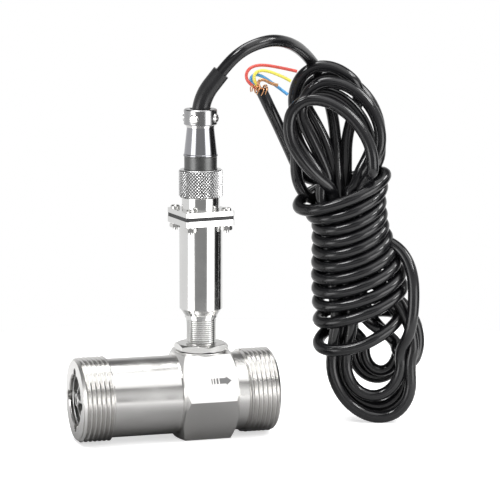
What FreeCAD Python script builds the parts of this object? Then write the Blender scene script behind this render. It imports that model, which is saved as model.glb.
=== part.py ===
import FreeCAD, Part
import math
import os

V = FreeCAD.Vector

# The part stands on the lower flat of its hexagon. X runs with the flow, the pickup stands up along Z,
# and the origin is on the floor under the middle of the pipe. All sizes are in millimetres and degrees.

# Flow body
pipe_length = 100.0
thread_d = 41.91
thread_length = 16.0
end_chamfer = 1.4
neck_d = 39.0
bore_d = 25.4
hex_af = 42.5
hex_length = 28.3
hex_middle_x = 14.4
hex_face_step = 0.45
hex_chamfer_run = 2.6
mouth_radius = 0.5

# Pockets and snap ring grooves in both mouths
pocket_d = 5.0
pocket_reach = 15.9
pocket_depth = 4.2
groove_setback = 1.7
groove_width = 1.1
groove_depth = 0.7
snap_ring_d = 1.0
snap_ring_gap = 5.0
snap_ring_play = 0.05
snap_ring_turn = 45.0

# Flow guides
vane_t = 1.2
vane_count = 4
vane_gap = 0.1
vane_edge_depth = 1.3
ear_width = 2.4
ear_reach = 15.4
ear_length = 1.2
hub_nose_d = 6.6
hub_nose_depth = 0.7
hub_mouth_d = 4.4
hub_mouth_depth = 1.2
hub_cone_length = 9.0
hub_nose_bevel = 0.3
vane_nose_step = 0.6
vane_shoulder_share = 0.8
vane_tail_share = 0.35
ear_foot_share = 0.9
inlet_vane_end_gap = 9.0
outlet_vane_end_gap = 6.0

# Rotor, shaft and bearings
rotor_length = 12.0
rotor_hub_d = 9.0
rotor_gap = 0.6
tip_gap = 0.5
blade_count = 8
blade_t = 0.9
blade_lead = 76.0
blade_stations = 5
blade_setback = 0.8
blade_sink = 0.6
rotor_edge = 0.6
shaft_d = 2.0
bearing_d = 5.0
bearing_length = 3.4
running_gap = 0.04
press_gap = 0.02
shaft_end_gap = 0.5
shaft_room_gap = 0.16

# Pickup housing
pickup_wall = 1.7
seat_gap = 0.3
stem_d = 15.0
stem_show = 13.0
stem_chamfer = 0.8
collar_d = 16.2
collar_h = 1.35
cone_low_d = 17.0
cone_h = 3.15
housing_d = 21.3
housing_h = 42.3
housing_wall = 1.5
stem_wall = 1.9
tip_wall = 1.0
flange_edge = 0.7
flange_corner_r = 1.0
flange_turn = 7.5
pickup_flange_t = 2.85
gasket_t = 1.85
gasket_setback = 0.15
socket_flange_t = 2.35
thread_gap = 0.05

# Stem nut and washer
washer_t = 0.6
washer_d = 26.4
nut_t = 3.5
nut_af = 24.0
nut_turn = 2.3
nut_chamfer_run = 0.9
nut_rim_share = 0.98

# Flange fasteners
screw_d = 2.5
screw_hole_d = 2.8
nut_wall_gap = 0.04
screw_head_d = 4.8
screw_head_h = 1.5
screw_slot_turn = 50.0
screw_slot_w = 0.7
screw_slot_depth = 0.7
screw_tip_show = 1.2
lock_washer_t = 0.6
lock_washer_d = 5.0
small_nut_af = 5.0
small_nut_t = 2.0
small_nut_chamfer = 0.35
small_nut_turn = 12.0

# Dome of the flange screws: step inwards and depth below the top
screw_dome = [(0.0, 0.7), (0.25, 0.3), (0.8, 0.0)]

# Pickup coil, magnet and amplifier board
pole_d = 3.0
bobbin_d = 10.4
bobbin_h = 14.0
bobbin_flange_t = 1.0
bobbin_core_d = 4.6
winding_d = 9.4
magnet_d = 9.0
magnet_h = 6.0
board_w = 13.0
board_t = 1.6
board_h = 33.0
chip_w = 6.0
chip_h = 8.0
chip_t = 1.8
small_chip_w = 4.2
small_chip_h = 4.8
coil_can_r = 2.4
coil_can_h = 2.9
terminal_w = 9.1
terminal_t = 2.5
terminal_h = 4.0

# Foot of each piece above the foot of the board, as a share of the board's height
chip_up = 0.2
small_chip_up = 0.62
coil_can_up = 0.4
terminal_up = 0.8

# Socket and its insert
socket_neck_d = 18.6
socket_neck_h = 13.85
neck_chamfer = 0.5
socket_bore_d = 16.3
socket_ledge = 1.2
socket_ledge_hole_d = 13.0
insert_h = 6.5
insert_gap = 0.05
pin_count = 4
pin_d = 1.6
pin_circle_d = 8.0
pin_turn = 45.0
pin_show = 6.0
pin_tail = 3.5

# Coupling ring and its retainer
ring_d = 21.7
ring_length = 13.75
ring_standoff = 6.1
ring_chamfer = 0.8
ring_entry = 0.5
ring_lip_t = 1.8
ring_lip_gap = 0.3
screw_gap = 0.06
retainer_t = 0.8
retainer_d = 18.0
retainer_gap = 0.2
retainer_seat_d = 15.2
retainer_opening = 4.0

# Plug shell
slip_gap = 0.08
nose_floor_gap = 1.0
nose_wall = 1.0
nose_bevel = 0.3
plug_body_h = 6.3
ridge_d = 16.9
ridge_h = 1.4
ridge_bevel = 0.35
taper_low_d = 16.3
taper_top_d = 13.4
taper_h = 13.1
shell_waist_h = 8.0
contact_d = 2.6
contact_hole_d = 1.9
contact_tail = 2.0
plug_insert_h = 11.0
plug_insert_setback = 0.3
contact_setback = 0.6
insert_headroom = 1.0

# Cable clamp
ferrule_d = 13.8
ferrule_h = 1.1
clamp_d = 16.4
clamp_h = 7.85
clamp_bore_d = 10.6
clamp_edge = 0.5
clamp_screw_count = 4
clamp_screw_d = 2.6
clamp_screw_head_d = 4.6
clamp_screw_head_h = 1.1
clamp_screw_turn = -38.5
clamp_screw_flat = 0.35
clamp_screw_up = 0.45
clamp_tip_gap = 0.1
clamp_head_bevel = 0.6
clamp_head_bevel_h = 0.4
clamp_slot_w = 0.7
clamp_slot_depth = 0.5
clamp_slot_turn = 35.0

# Sleeve and cable
sleeve_d = 8.8
sleeve_bore_gap = 0.2
sleeve_sunk = 7.0
sleeve_start_below = 3.8
sleeve_bend_r = 25.0
sleeve_bend = 38.0
sleeve_tail = 7.9
cable_d = 6.0
view_turn = -16.5
core_d = 1.3
braid_d = 1.6
bend_share = 0.45

# Route of the lead, from the end of the sleeve over to the top of the hank
lead_points = [
    (28.2, -4.1, 186.3),
    (34.9, -5.0, 191.7),
    (42.3, -4.1, 194.6),
    (50.4, -1.8, 196.0),
    (58.2, 1.7, 195.0),
    (65.4, 5.8, 192.0),
    (71.5, 10.2, 187.8),
    (77.1, 14.8, 182.7),
    (82.8, 18.4, 176.9),
]

# Route of the loose tail, from the stripped end down into the hank
tail_points = [
    (50.4, 29.4, 169.4),
    (54.2, 27.7, 166.0),
    (58.4, 25.8, 160.6),
    (61.9, 23.7, 153.2),
    (64.9, 21.6, 144.8),
    (67.4, 20.6, 135.6),
    (69.2, 20.6, 126.0),
]

# Cores and shield, each from its place on the cut end
red_points = [
    (49.7, 29.9, 168.4),
    (48.0, 30.7, 169.9),
    (46.9, 31.3, 172.8),
    (46.9, 31.8, 176.0),
    (48.6, 31.7, 179.0),
    (52.2, 30.7, 180.6),
    (56.9, 29.2, 180.6),
    (61.9, 27.3, 179.7),
    (66.8, 25.4, 178.7),
    (71.3, 23.6, 177.6),
]
yellow_points = [
    (51.0, 29.1, 170.2),
    (49.2, 30.0, 172.2),
    (48.9, 30.2, 174.9),
    (50.8, 29.8, 177.4),
    (54.2, 28.8, 178.2),
    (57.8, 27.5, 177.6),
    (61.4, 26.2, 176.2),
    (65.0, 25.0, 174.6),
    (68.2, 23.9, 172.7),
]
blue_points = [
    (50.8, 30.5, 169.2),
    (49.4, 31.2, 170.6),
    (48.9, 31.5, 172.8),
    (49.7, 31.4, 175.0),
    (51.9, 30.7, 176.0),
    (54.6, 29.8, 175.2),
    (57.4, 28.6, 173.3),
    (60.4, 27.3, 171.0),
    (63.6, 25.8, 168.5),
    (66.7, 24.3, 165.9),
]
braid_points = [
    (50.1, 28.2, 169.6),
    (48.8, 28.8, 170.9),
    (48.6, 28.6, 172.6),
    (49.8, 28.1, 173.9),
    (52.0, 27.3, 173.9),
    (54.5, 26.4, 172.8),
    (56.9, 25.5, 171.6),
    (59.5, 24.6, 170.8),
]

# Outer shape of the hank: height, middle and half width across the view, half depth
hank_foot = (112.4, 3.7)
hank_lean = 4.0
hank_rings = [
    (0.4, -1.0, 7.0, 3.5),
    (4.0, -1.5, 13.5, 6.5),
    (14.0, -3.2, 20.5, 10.0),
    (30.0, -6.0, 26.5, 12.5),
    (50.0, -9.5, 28.5, 14.0),
    (75.0, -10.8, 26.2, 14.0),
    (100.0, -18.0, 23.5, 14.0),
    (125.0, -24.8, 26.0, 13.0),
    (148.0, -26.0, 25.0, 12.0),
    (164.0, -28.0, 20.5, 10.5),
    (176.0, -31.0, 13.5, 7.0),
    (182.0, -33.0, 6.0, 3.5),
]

# Levels above the floor
pipe_axis_z = hex_af / 2
washer_top = hex_af + washer_t
nut_top = washer_top + nut_t
stem_low = pipe_axis_z + bore_d / 2 + pickup_wall + seat_gap
collar_low = nut_top + stem_show
cone_low = collar_low + collar_h
housing_low = cone_low + cone_h
housing_top = housing_low + housing_h
gasket_low = housing_top + pickup_flange_t
socket_low = gasket_low + gasket_t
socket_flange_top = socket_low + socket_flange_t
neck_top = socket_flange_top + socket_neck_h
insert_low = socket_low + socket_ledge
insert_top = insert_low + insert_h
ring_low = socket_flange_top + ring_standoff
ring_top = ring_low + ring_length
lip_low = ring_top - ring_lip_t
retainer_top = lip_low - retainer_gap
nose_low = insert_top + nose_floor_gap
ridge_low = ring_top + plug_body_h
taper_low = ridge_low + ridge_h
taper_top = taper_low + taper_h
clamp_low = taper_top + ferrule_h
clamp_top = clamp_low + clamp_h
sleeve_bend_z = clamp_top - sleeve_start_below
clamp_screw_z = clamp_low + clamp_h * clamp_screw_up

# Radii that several pieces share
bore_r = bore_d / 2
groove_r = bore_r + groove_depth
nose_r = socket_bore_d / 2 - slip_gap
sleeve_bore_r = sleeve_d / 2 + sleeve_bore_gap

# The nuts stand just clear of the housing on the flange's diagonals, and the screws set the flange's size
nut_corner_r = small_nut_af / math.sqrt(3)
screw_offset = (housing_d / 2 + nut_corner_r + nut_wall_gap) / math.sqrt(2)
flange_side = 2 * (screw_offset + screw_head_d / 2 + flange_edge)

# Rotor's half length and the room that it keeps from each hub
rotor_half = rotor_length / 2
hub_end_gap = rotor_half + rotor_gap


def disc(radius, low, high):
    return Part.makeCylinder(radius, high - low, V(0, 0, low))


def disc_x(radius, start, end):
    return Part.makeCylinder(radius, end - start, V(start, 0, 0), V(1, 0, 0))


def turned(profile):
    """Solid of revolution about Z from (radius, height) points."""
    points = [V(r, 0, z) for r, z in profile]
    face = Part.Face(Part.makePolygon(points + points[:1]))
    return face.revolve(V(0, 0, 0), V(0, 0, 1), 360)


def turned_x(profile):
    """Solid of revolution about X from (distance along X, radius) points."""
    points = [V(x, 0, r) for x, r in profile]
    face = Part.Face(Part.makePolygon(points + points[:1]))
    return face.revolve(V(0, 0, 0), V(1, 0, 0), 360)


def hex_prism(across_flats, low, high, chamfer_run):
    """Upright hexagon with turned chamfers above and below; one flat faces +X."""
    corner_r = across_flats / math.sqrt(3)
    corners = [V(corner_r * math.cos(math.radians(30 + 60 * k)),
                 corner_r * math.sin(math.radians(30 + 60 * k)), low) for k in range(6)]
    prism = Part.Face(Part.makePolygon(corners + corners[:1])).extrude(V(0, 0, high - low))
    rim_r = across_flats / 2 * nut_rim_share
    envelope = [(0, low), (rim_r, low), (corner_r, low + chamfer_run), (corner_r, high - chamfer_run),
                (rim_r, high), (0, high)]
    return prism.common(turned(envelope))


def on_pipe(shape):
    shape.translate(V(0, 0, pipe_axis_z))
    return shape


def on_stem(shape, turn=0.0):
    shape.rotate(V(0, 0, 0), V(0, 0, 1), turn)
    shape.translate(V(hex_middle_x, 0, 0))
    return shape


def around(shape, count, axis, first=0.0):
    copies = []
    for k in range(count):
        copy = shape.copy()
        copy.rotate(V(0, 0, 0), axis, first + 360.0 * k / count)
        copies.append(copy)
    return copies


def rounded_square(side, low, high, corner_r):
    block = Part.makeBox(side, side, high - low, V(-side / 2, -side / 2, low))
    upright = [e for e in block.Edges if abs(e.tangentAt(e.FirstParameter).z) > 0.9]
    return block.makeFillet(corner_r, upright)


def at_corners(shape):
    copies = []
    for sx in (-1, 1):
        for sy in (-1, 1):
            copy = shape.copy()
            copy.translate(V(sx * screw_offset, sy * screw_offset, 0))
            copies.append(copy)
    return copies


def mirrored_x(shape):
    return shape.mirror(V(0, 0, 0), V(1, 0, 0))


def flow_body():
    half = pipe_length / 2
    thread_r = thread_d / 2
    neck_r = neck_d / 2
    outline = [(-half, 0), (-half, thread_r - end_chamfer), (-half + end_chamfer, thread_r),
               (-half + thread_length, thread_r), (-half + thread_length, neck_r),
               (half - thread_length, neck_r), (half - thread_length, thread_r),
               (half - end_chamfer, thread_r), (half, thread_r - end_chamfer), (half, 0)]
    pipe = turned_x(outline)
    start = hex_middle_x - hex_length / 2
    end = hex_middle_x + hex_length / 2
    corner_r = hex_af / math.sqrt(3)
    corners = [V(start, corner_r * math.cos(math.radians(60 * k)),
                 corner_r * math.sin(math.radians(60 * k))) for k in range(6)]
    block = Part.Face(Part.makePolygon(corners + corners[:1])).extrude(V(hex_length, 0, 0))
    face_r = hex_af / 2 - hex_face_step
    envelope = turned_x([(start, 0), (start, face_r), (start + hex_chamfer_run, corner_r),
                         (end - hex_chamfer_run, corner_r), (end, face_r), (end, 0)])
    pipe = pipe.fuse(block.common(envelope))
    bore = turned_x([(-half, 0), (-half, bore_r + mouth_radius), (-half + mouth_radius, bore_r),
                     (half - mouth_radius, bore_r), (half, bore_r + mouth_radius), (half, 0)])
    cuts = [bore]
    groove = disc_x(groove_r, -half + groove_setback, -half + groove_setback + groove_width)
    pocket = Part.makeCylinder(pocket_d / 2, pocket_depth, V(-half, 0, pocket_reach - pocket_d / 2), V(1, 0, 0))
    for cut in [groove] + around(pocket, vane_count, V(1, 0, 0)):
        cuts.append(cut)
        cuts.append(mirrored_x(cut))
    pipe = on_pipe(pipe.cut(Part.makeCompound(cuts)))
    tapped_low = stem_low - seat_gap
    tapped = on_stem(disc(stem_d / 2 + thread_gap, tapped_low, hex_af))
    return pipe.cut(tapped).removeSplitter()


def guide(vane_end, hub_end):
    """Inlet guide about the X axis; the mouth is at -X, and its hub ends beside the rotor."""
    face = -pipe_length / 2
    nose_r_here = hub_nose_d / 2
    mouth_r = hub_mouth_d / 2
    nose = face + hub_nose_depth
    hub = turned_x([(nose, mouth_r), (nose, nose_r_here - hub_nose_bevel), (nose + hub_nose_bevel, nose_r_here),
                    (hub_end - hub_cone_length, nose_r_here), (hub_end, rotor_hub_d / 2),
                    (hub_end, 0), (nose + hub_mouth_depth, 0), (nose + hub_mouth_depth, mouth_r)])
    wall_r = bore_r - vane_gap
    ear_start = face + pocket_depth - ear_length
    vane_start = face + vane_edge_depth
    tail_x = vane_end + wall_r * vane_tail_share
    edge = [V(vane_start, 0, 0), V(vane_start, 0, nose_r_here + vane_nose_step),
            V(ear_start, 0, bore_r * vane_shoulder_share), V(ear_start, 0, wall_r), V(vane_end, 0, wall_r),
            V(tail_x, 0, nose_r_here), V(tail_x, 0, 0)]
    vane = Part.Face(Part.makePolygon(edge + edge[:1])).extrude(V(0, vane_t, 0))
    vane.translate(V(0, -vane_t / 2, 0))
    ear_foot = bore_r * ear_foot_share
    ear = Part.makeBox(ear_length, ear_width, ear_reach - ear_foot, V(ear_start, -ear_width / 2, ear_foot))
    hub_room = disc_x(mouth_r, face, nose + hub_mouth_depth)
    vanes = around(vane.fuse(ear).cut(hub_room), vane_count, V(1, 0, 0))
    bearing_room = disc_x(bearing_d / 2 + press_gap, hub_end - bearing_length, hub_end)
    shaft_room = disc_x(shaft_d / 2 + shaft_room_gap, hub_end - bearing_length - shaft_end_gap, hub_end)
    return hub.multiFuse(vanes).cut(bearing_room).cut(shaft_room).removeSplitter()


def bearing(hub_end):
    bush = disc_x(bearing_d / 2, hub_end - bearing_length, hub_end)
    return bush.cut(disc_x(shaft_d / 2 + running_gap, hub_end - bearing_length, hub_end))


def snap_ring():
    """Round-wire ring in its groove, open by snap_ring_gap."""
    groove_middle = -pipe_length / 2 + groove_setback + groove_width / 2
    wire_r = snap_ring_d / 2
    ring_r = groove_r - wire_r - snap_ring_play
    hoop = Part.makeTorus(ring_r, wire_r, V(groove_middle, 0, 0), V(1, 0, 0))
    slot = Part.makeBox(2 * snap_ring_d, snap_ring_gap, 2 * bore_r,
                        V(groove_middle - snap_ring_d, -snap_ring_gap / 2, 0))
    slot.rotate(V(0, 0, 0), V(1, 0, 0), snap_ring_turn)
    return hoop.cut(slot)


def rotor():
    hub = disc_x(rotor_hub_d / 2, -rotor_half, rotor_half)
    hub = hub.makeChamfer(rotor_edge, [e for e in hub.Edges if e.Closed and e.Length > rotor_hub_d])
    tip_r = bore_r - tip_gap
    root_r = rotor_hub_d / 2 - blade_sink
    over_r = tip_r + blade_sink
    blade_half = rotor_half - blade_setback
    sections = []
    for k in range(blade_stations):
        x = -blade_half + 2 * blade_half * k / (blade_stations - 1)
        corners = [V(x, -blade_t / 2, root_r), V(x, blade_t / 2, root_r), V(x, blade_t / 2, over_r),
                   V(x, -blade_t / 2, over_r)]
        section = Part.makePolygon(corners + corners[:1])
        section.rotate(V(0, 0, 0), V(1, 0, 0), 360.0 * x / blade_lead)
        sections.append(section)
    blade = Part.makeLoft(sections, True, False).common(disc_x(tip_r, -rotor_half, rotor_half))
    wheel = hub.multiFuse(around(blade, blade_count, V(1, 0, 0)))
    return wheel.cut(disc_x(shaft_d / 2, -rotor_half, rotor_half))


def rotor_shaft():
    reach = hub_end_gap + bearing_length
    return disc_x(shaft_d / 2, -reach, reach)


def pickup_housing():
    stem_r = stem_d / 2
    shell = turned([(0, stem_low), (stem_r - stem_chamfer, stem_low), (stem_r, stem_low + stem_chamfer),
                    (stem_r, collar_low), (collar_d / 2, collar_low), (collar_d / 2, cone_low),
                    (cone_low_d / 2, cone_low), (housing_d / 2, housing_low), (housing_d / 2, gasket_low),
                    (0, gasket_low)])
    shell = shell.fuse(rounded_square(flange_side, housing_top, gasket_low, flange_corner_r))
    room_r = housing_d / 2 - housing_wall
    stem_room_r = stem_r - stem_wall
    cuts = [disc(room_r, housing_low, gasket_low), disc(stem_room_r, stem_low + tip_wall, housing_low)]
    cuts += at_corners(disc(screw_hole_d / 2, housing_top, gasket_low))
    return shell.cut(Part.makeCompound(cuts))


def stem_nut():
    nut = hex_prism(nut_af, washer_top, nut_top, nut_chamfer_run)
    return nut.cut(disc(stem_d / 2 + thread_gap, washer_top, nut_top))


def stem_washer():
    washer = disc(washer_d / 2, hex_af, washer_top)
    return washer.cut(disc(stem_d / 2 + thread_gap, hex_af, washer_top))


def coil_pieces():
    floor = stem_low + tip_wall
    top = floor + bobbin_h
    pole = disc(pole_d / 2, floor, top)
    spool = disc(bobbin_d / 2, floor, floor + bobbin_flange_t)
    spool = spool.fuse(disc(bobbin_core_d / 2, floor, top)).fuse(disc(bobbin_d / 2, top - bobbin_flange_t, top))
    spool = spool.cut(disc(pole_d / 2, floor, top))
    winding = disc(winding_d / 2, floor + bobbin_flange_t, top - bobbin_flange_t)
    winding = winding.cut(disc(bobbin_core_d / 2, floor, top))
    magnet = disc(magnet_d / 2, top, top + magnet_h)
    return pole, spool, winding, magnet


def preamp_board():
    """Board on the floor of the housing, with its chips, coils and connector."""
    low = housing_low
    face = board_t / 2
    board = Part.makeBox(board_w, board_t, board_h, V(-board_w / 2, -face, low))
    chip = Part.makeBox(chip_w, chip_t, chip_h, V(-chip_w / 2, face, low + board_h * chip_up))
    second = Part.makeBox(small_chip_w, chip_t, small_chip_h,
                          V(-small_chip_w / 2, face, low + board_h * small_chip_up))
    can = Part.makeCylinder(coil_can_r, coil_can_h, V(0, -face, low + board_h * coil_can_up), V(0, -1, 0))
    terminal = Part.makeBox(terminal_w, terminal_t, terminal_h,
                            V(-terminal_w / 2, -face - terminal_t, low + board_h * terminal_up))
    return board.multiFuse([chip, second, can, terminal])


def flange_gasket():
    plate = rounded_square(flange_side - 2 * gasket_setback, gasket_low, socket_low, flange_corner_r)
    cuts = [disc(housing_d / 2 - housing_wall, gasket_low, socket_low)]
    cuts += at_corners(disc(screw_hole_d / 2, gasket_low, socket_low))
    return plate.cut(Part.makeCompound(cuts))


def socket_shell():
    neck_r = socket_neck_d / 2
    shell = rounded_square(flange_side, socket_low, socket_flange_top, flange_corner_r)
    shell = shell.fuse(turned([(0, socket_low), (neck_r, socket_low), (neck_r, neck_top - neck_chamfer),
                               (neck_r - neck_chamfer, neck_top), (0, neck_top)]))
    cuts = [disc(socket_ledge_hole_d / 2, socket_low, insert_low), disc(socket_bore_d / 2, insert_low, neck_top)]
    cuts += at_corners(disc(screw_hole_d / 2, socket_low, socket_flange_top))
    return shell.cut(Part.makeCompound(cuts))


def pins(radius, low, high):
    pin = disc(radius, low, high - radius)
    pin = pin.fuse(Part.makeSphere(radius, V(0, 0, high - radius)))
    pin.translate(V(pin_circle_d / 2, 0, 0))
    return around(pin, pin_count, V(0, 0, 1), pin_turn)


def contact_holes(radius, low, high):
    hole = disc(radius, low, high)
    hole.translate(V(pin_circle_d / 2, 0, 0))
    return around(hole, pin_count, V(0, 0, 1), pin_turn)


def socket_insert():
    block = disc(socket_bore_d / 2 - insert_gap, insert_low, insert_top)
    return block.cut(Part.makeCompound(contact_holes(pin_d / 2, insert_low, insert_top)))


def socket_pins():
    return Part.makeCompound(pins(pin_d / 2, insert_low - pin_tail, insert_top + pin_show))


def flange_screws():
    head_top = socket_flange_top + screw_head_h
    tip = housing_top - lock_washer_t - small_nut_t - screw_tip_show
    head_r = screw_head_d / 2
    dome = [(head_r - step, head_top - depth) for step, depth in screw_dome]
    head = turned([(0, socket_flange_top), (head_r, socket_flange_top)] + dome + [(0, head_top)])
    screw = head.fuse(disc(screw_d / 2, tip, socket_flange_top))
    slot = Part.makeBox(screw_head_d, screw_slot_w, screw_slot_depth,
                        V(-head_r, -screw_slot_w / 2, head_top - screw_slot_depth))
    slot.rotate(V(0, 0, 0), V(0, 0, 1), screw_slot_turn)
    return Part.makeCompound(at_corners(screw.cut(slot)))


def flange_washers():
    low = housing_top - lock_washer_t
    washer = disc(lock_washer_d / 2, low, housing_top).cut(disc(screw_d / 2 + thread_gap, low, housing_top))
    return Part.makeCompound(at_corners(washer))


def flange_nuts():
    high = housing_top - lock_washer_t
    low = high - small_nut_t
    nut = hex_prism(small_nut_af, low, high, small_nut_chamfer)
    nut = nut.cut(disc(screw_d / 2 + thread_gap, low, high))
    nut.rotate(V(0, 0, 0), V(0, 0, 1), small_nut_turn)
    return Part.makeCompound(at_corners(nut))


def coupling_ring():
    outer_r = ring_d / 2
    inner_r = socket_neck_d / 2 + screw_gap
    lip_r = nose_r + ring_lip_gap
    profile = [(inner_r + ring_entry, ring_low), (outer_r - ring_chamfer, ring_low),
               (outer_r, ring_low + ring_chamfer), (outer_r, ring_top - ring_chamfer),
               (outer_r - ring_chamfer, ring_top), (lip_r, ring_top), (lip_r, lip_low), (inner_r, lip_low),
               (inner_r, ring_low + ring_entry)]
    return turned(profile)


def ring_retainer():
    low = retainer_top - retainer_t
    hoop = disc(retainer_d / 2, low, retainer_top).cut(disc(retainer_seat_d / 2, low, retainer_top))
    opening = Part.makeBox(retainer_d, retainer_opening, retainer_t, V(0, -retainer_opening / 2, low))
    return hoop.cut(opening)


def plug_shell():
    """Nose in the socket, groove for the retainer, body, ridge and long taper."""
    ridge_r = ridge_d / 2
    groove_r_here = retainer_seat_d / 2
    groove_low = retainer_top - retainer_t
    inner_r = nose_r - nose_wall
    waist_z = nose_low + plug_insert_h + insert_headroom
    profile = [(inner_r, nose_low), (nose_r - nose_bevel, nose_low), (nose_r, nose_low + nose_bevel),
               (nose_r, groove_low), (groove_r_here, groove_low), (groove_r_here, retainer_top),
               (nose_r, retainer_top),
               (nose_r, ridge_low), (ridge_r - ridge_bevel, ridge_low), (ridge_r, ridge_low + ridge_bevel),
               (ridge_r, taper_low - ridge_bevel), (taper_low_d / 2, taper_low), (taper_top_d / 2, taper_top),
               (sleeve_bore_r, taper_top), (sleeve_bore_r, taper_top - shell_waist_h), (inner_r, waist_z)]
    return turned(profile)


def plug_insert():
    low = nose_low + plug_insert_setback
    high = nose_low + plug_insert_h
    block = disc(nose_r - nose_wall - insert_gap, low, high)
    holes = contact_holes(contact_d / 2, low, high)
    return block.cut(Part.makeCompound(holes))


def plug_contacts():
    low = nose_low + contact_setback
    high = nose_low + plug_insert_h + contact_tail
    tube = disc(contact_d / 2, low, high).cut(disc(contact_hole_d / 2, low, high - contact_tail))
    tube.translate(V(pin_circle_d / 2, 0, 0))
    return Part.makeCompound(around(tube, pin_count, V(0, 0, 1), pin_turn))


def clamp_ferrule():
    return disc(ferrule_d / 2, taper_top, clamp_low).cut(disc(sleeve_bore_r, taper_top, clamp_low))


def clamp_collar():
    outer_r = clamp_d / 2
    collar = turned([(clamp_bore_d / 2, clamp_low), (outer_r - clamp_edge, clamp_low),
                     (outer_r, clamp_low + clamp_edge), (outer_r, clamp_top - clamp_edge),
                     (outer_r - clamp_edge, clamp_top), (clamp_bore_d / 2, clamp_top)])
    hole = Part.makeCylinder(clamp_screw_d / 2, clamp_d, V(0, 0, clamp_screw_z), V(1, 0, 0))
    seat = Part.makeCylinder(clamp_screw_head_d / 2, clamp_d, V(outer_r - clamp_screw_flat, 0, clamp_screw_z),
                             V(1, 0, 0))
    return collar.cut(Part.makeCompound(around(hole.fuse(seat), clamp_screw_count, V(0, 0, 1))))


def clamp_screws():
    """Four radial screws; their tips press on the sleeve."""
    seat_r = clamp_d / 2 - clamp_screw_flat
    head_end = seat_r + clamp_screw_head_h
    head_r = clamp_screw_head_d / 2
    head = turned_x([(seat_r, 0), (seat_r, head_r), (head_end - clamp_head_bevel_h, head_r),
                     (head_end, head_r - clamp_head_bevel), (head_end, 0)])
    screw = head.fuse(disc_x(clamp_screw_d / 2, sleeve_d / 2 + clamp_tip_gap, seat_r))
    slot = Part.makeBox(clamp_slot_depth, clamp_screw_head_d, clamp_slot_w,
                        V(head_end - clamp_slot_depth, -head_r, -clamp_slot_w / 2))
    slot.rotate(V(0, 0, 0), V(1, 0, 0), clamp_slot_turn)
    screw = screw.cut(slot)
    screw.translate(V(0, 0, clamp_screw_z))
    return Part.makeCompound(around(screw, clamp_screw_count, V(0, 0, 1)))


def sleeve_route():
    """Start, bend start, bend middle, bend end and end of the sleeve, in the frame of the stem."""
    bend = math.radians(sleeve_bend)
    arc = []
    for part in (0.5, 1.0):
        turn = bend * part
        arc.append(V(sleeve_bend_r * (1 - math.cos(turn)), 0, sleeve_bend_z + sleeve_bend_r * math.sin(turn)))
    end = arc[1] + V(math.sin(bend), 0, math.cos(bend)) * sleeve_tail
    return [V(0, 0, taper_top - sleeve_sunk), V(0, 0, sleeve_bend_z), arc[0], arc[1], end]


def cable_sleeve():
    start, low, middle, high, end = sleeve_route()
    spine = Part.Wire([Part.makeLine(start, low), Part.Arc(low, middle, high).toShape(), Part.makeLine(high, end)])
    ring = Part.Wire([Part.makeCircle(sleeve_d / 2, start, V(0, 0, 1))])
    return spine.makePipeShell([ring], True, False)


def sleeve_end():
    end = sleeve_route()[-1]
    turn = math.radians(view_turn)
    return V(hex_middle_x + end.x * math.cos(turn), end.x * math.sin(turn), end.z)


def tube(name, points, diameter):
    """Round tube along straight runs joined by the largest tangent arcs that the runs allow."""
    stations = [V(*p) for p in points]
    edges = []
    radii = []
    here = stations[0]
    for k in range(1, len(stations) - 1):
        corner = stations[k]
        back = stations[k - 1] - corner
        ahead = stations[k + 1] - corner
        cut = bend_share * min(back.Length, ahead.Length)
        half_turn = (math.pi - back.getAngle(ahead)) / 2
        radii.append(cut / math.tan(half_turn))
        back.normalize()
        ahead.normalize()
        enter = corner + back * cut
        leave = corner + ahead * cut
        inward = back + ahead
        inward.normalize()
        radius = radii[-1]
        middle = corner + inward * (radius / math.cos(half_turn) - radius)
        edges.append(Part.LineSegment(here, enter).toShape())
        edges.append(Part.Arc(enter, middle, leave).toShape())
        here = leave
    edges.append(Part.LineSegment(here, stations[-1]).toShape())
    spine = Part.Wire(edges)
    ring = Part.Wire([Part.makeCircle(diameter / 2, stations[0], stations[1] - stations[0])])
    solid = spine.makePipeShell([ring], True, False)
    share = solid.Volume / (math.pi * diameter ** 2 / 4 * spine.Length)
    print(name, "length", round(spine.Length, 1), "volume share", round(share, 4),
          "radii", [round(r, 1) for r in radii])
    return solid


def cable_hank():
    """Outer shape of the wrapped cable, standing on its lowest loops."""
    sections = []
    for height, middle, half_width, half_depth in hank_rings:
        oval = Part.Ellipse(V(middle, 0, height), half_width, half_depth).toShape()
        sections.append(Part.Wire([oval]))
    hank = Part.makeLoft(sections, True, False)
    hank.rotate(V(0, 0, 0), V(1, 0, 0), -hank_lean)
    hank.rotate(V(0, 0, 0), V(0, 0, 1), view_turn)
    hank.translate(V(hank_foot[0], hank_foot[1], 0))
    hank.translate(V(0, 0, -hank.optimalBoundingBox().ZMin))
    return hank


def whole_inlet_guide():
    hub_end = hex_middle_x - hub_end_gap
    return on_pipe(guide(hub_end - inlet_vane_end_gap, hub_end))


def whole_outlet_guide():
    hub_end = -hex_middle_x - hub_end_gap
    return on_pipe(mirrored_x(guide(hub_end - outlet_vane_end_gap, hub_end)))


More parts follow.
